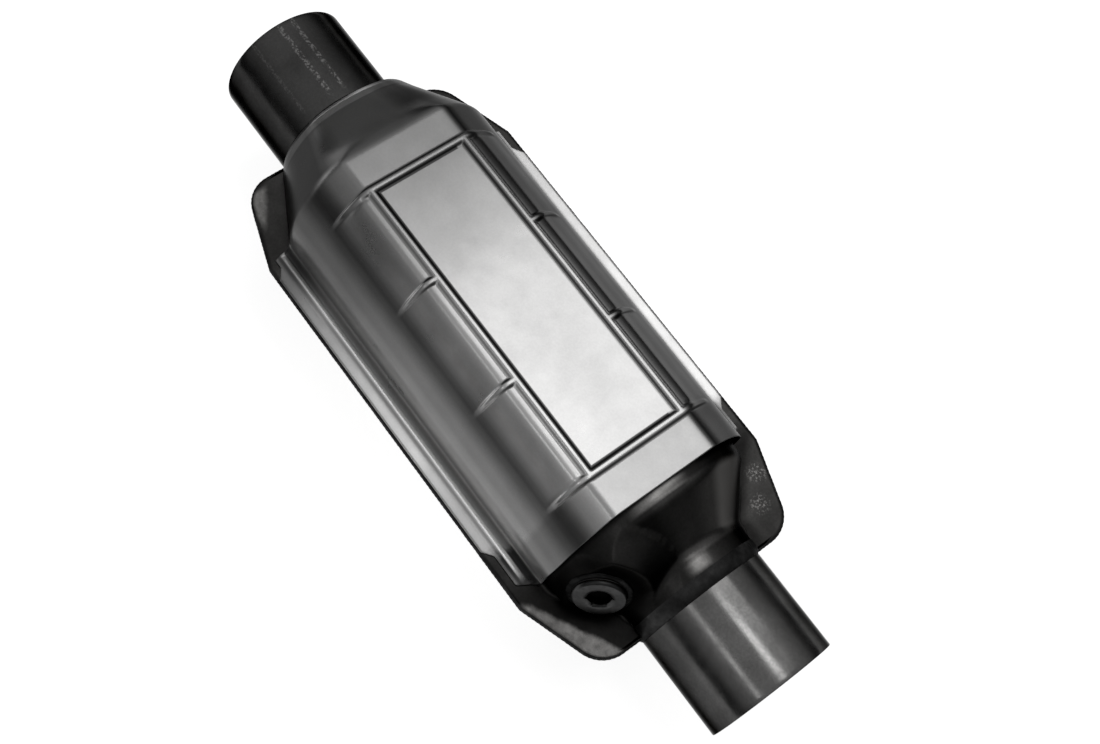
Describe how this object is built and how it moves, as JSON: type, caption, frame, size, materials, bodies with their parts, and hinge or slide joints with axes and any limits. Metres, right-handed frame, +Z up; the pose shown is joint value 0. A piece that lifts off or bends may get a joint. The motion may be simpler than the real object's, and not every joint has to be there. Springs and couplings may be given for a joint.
{
  "type": "catalytic converter",
  "caption": "Round catalytic converter with a clamshell body, ribbed heat shields, straight pipe stubs and a plugged sensor port.",
  "frame": {"origin": "centre of the body on the pipe axis, in the plane where the shell halves part", "axes": "+X along the pipe axis towards the end with the sensor port, +Z up through the upper shell half, +Y to the side away from the port"},
  "size_m": [0.373, 0.1366, 0.1128],
  "materials": {
    "shell_steel": "dark, heat-stained and dusty",
    "shield_steel": "satin, scuffed and faintly mottled",
    "pipe_steel": "dark, lightly stained",
    "weld_steel": "dark, matt and rough",
    "brick_ceramic": "matt and porous",
    "mat_fibre": "matt fibre",
    "seal_wire": "knitted wire",
    "bung_steel": "dark, turned",
    "gasket_copper": "dull copper",
    "plug_steel": "turned, satin"
  },
  "bodies": {
    "root": {"upper_shell": "shell_steel", "lower_shell": "shell_steel", "upper_heat_shield": "shield_steel", "lower_heat_shield": "shield_steel", "inlet_pipe": "pipe_steel", "outlet_pipe": "pipe_steel", "inlet_weld": "weld_steel", "outlet_weld": "weld_steel", "left_flange_weld": "weld_steel", "right_flange_weld": "weld_steel", "front_brick": "brick_ceramic", "rear_brick": "brick_ceramic", "front_mat": "mat_fibre", "rear_mat": "mat_fibre", "front_seal": "seal_wire", "rear_seal": "seal_wire", "sensor_bung": "bung_steel", "bung_weld": "weld_steel", "plug_gasket": "gasket_copper", "sensor_plug": "plug_steel"}
  },
  "joints": []
}
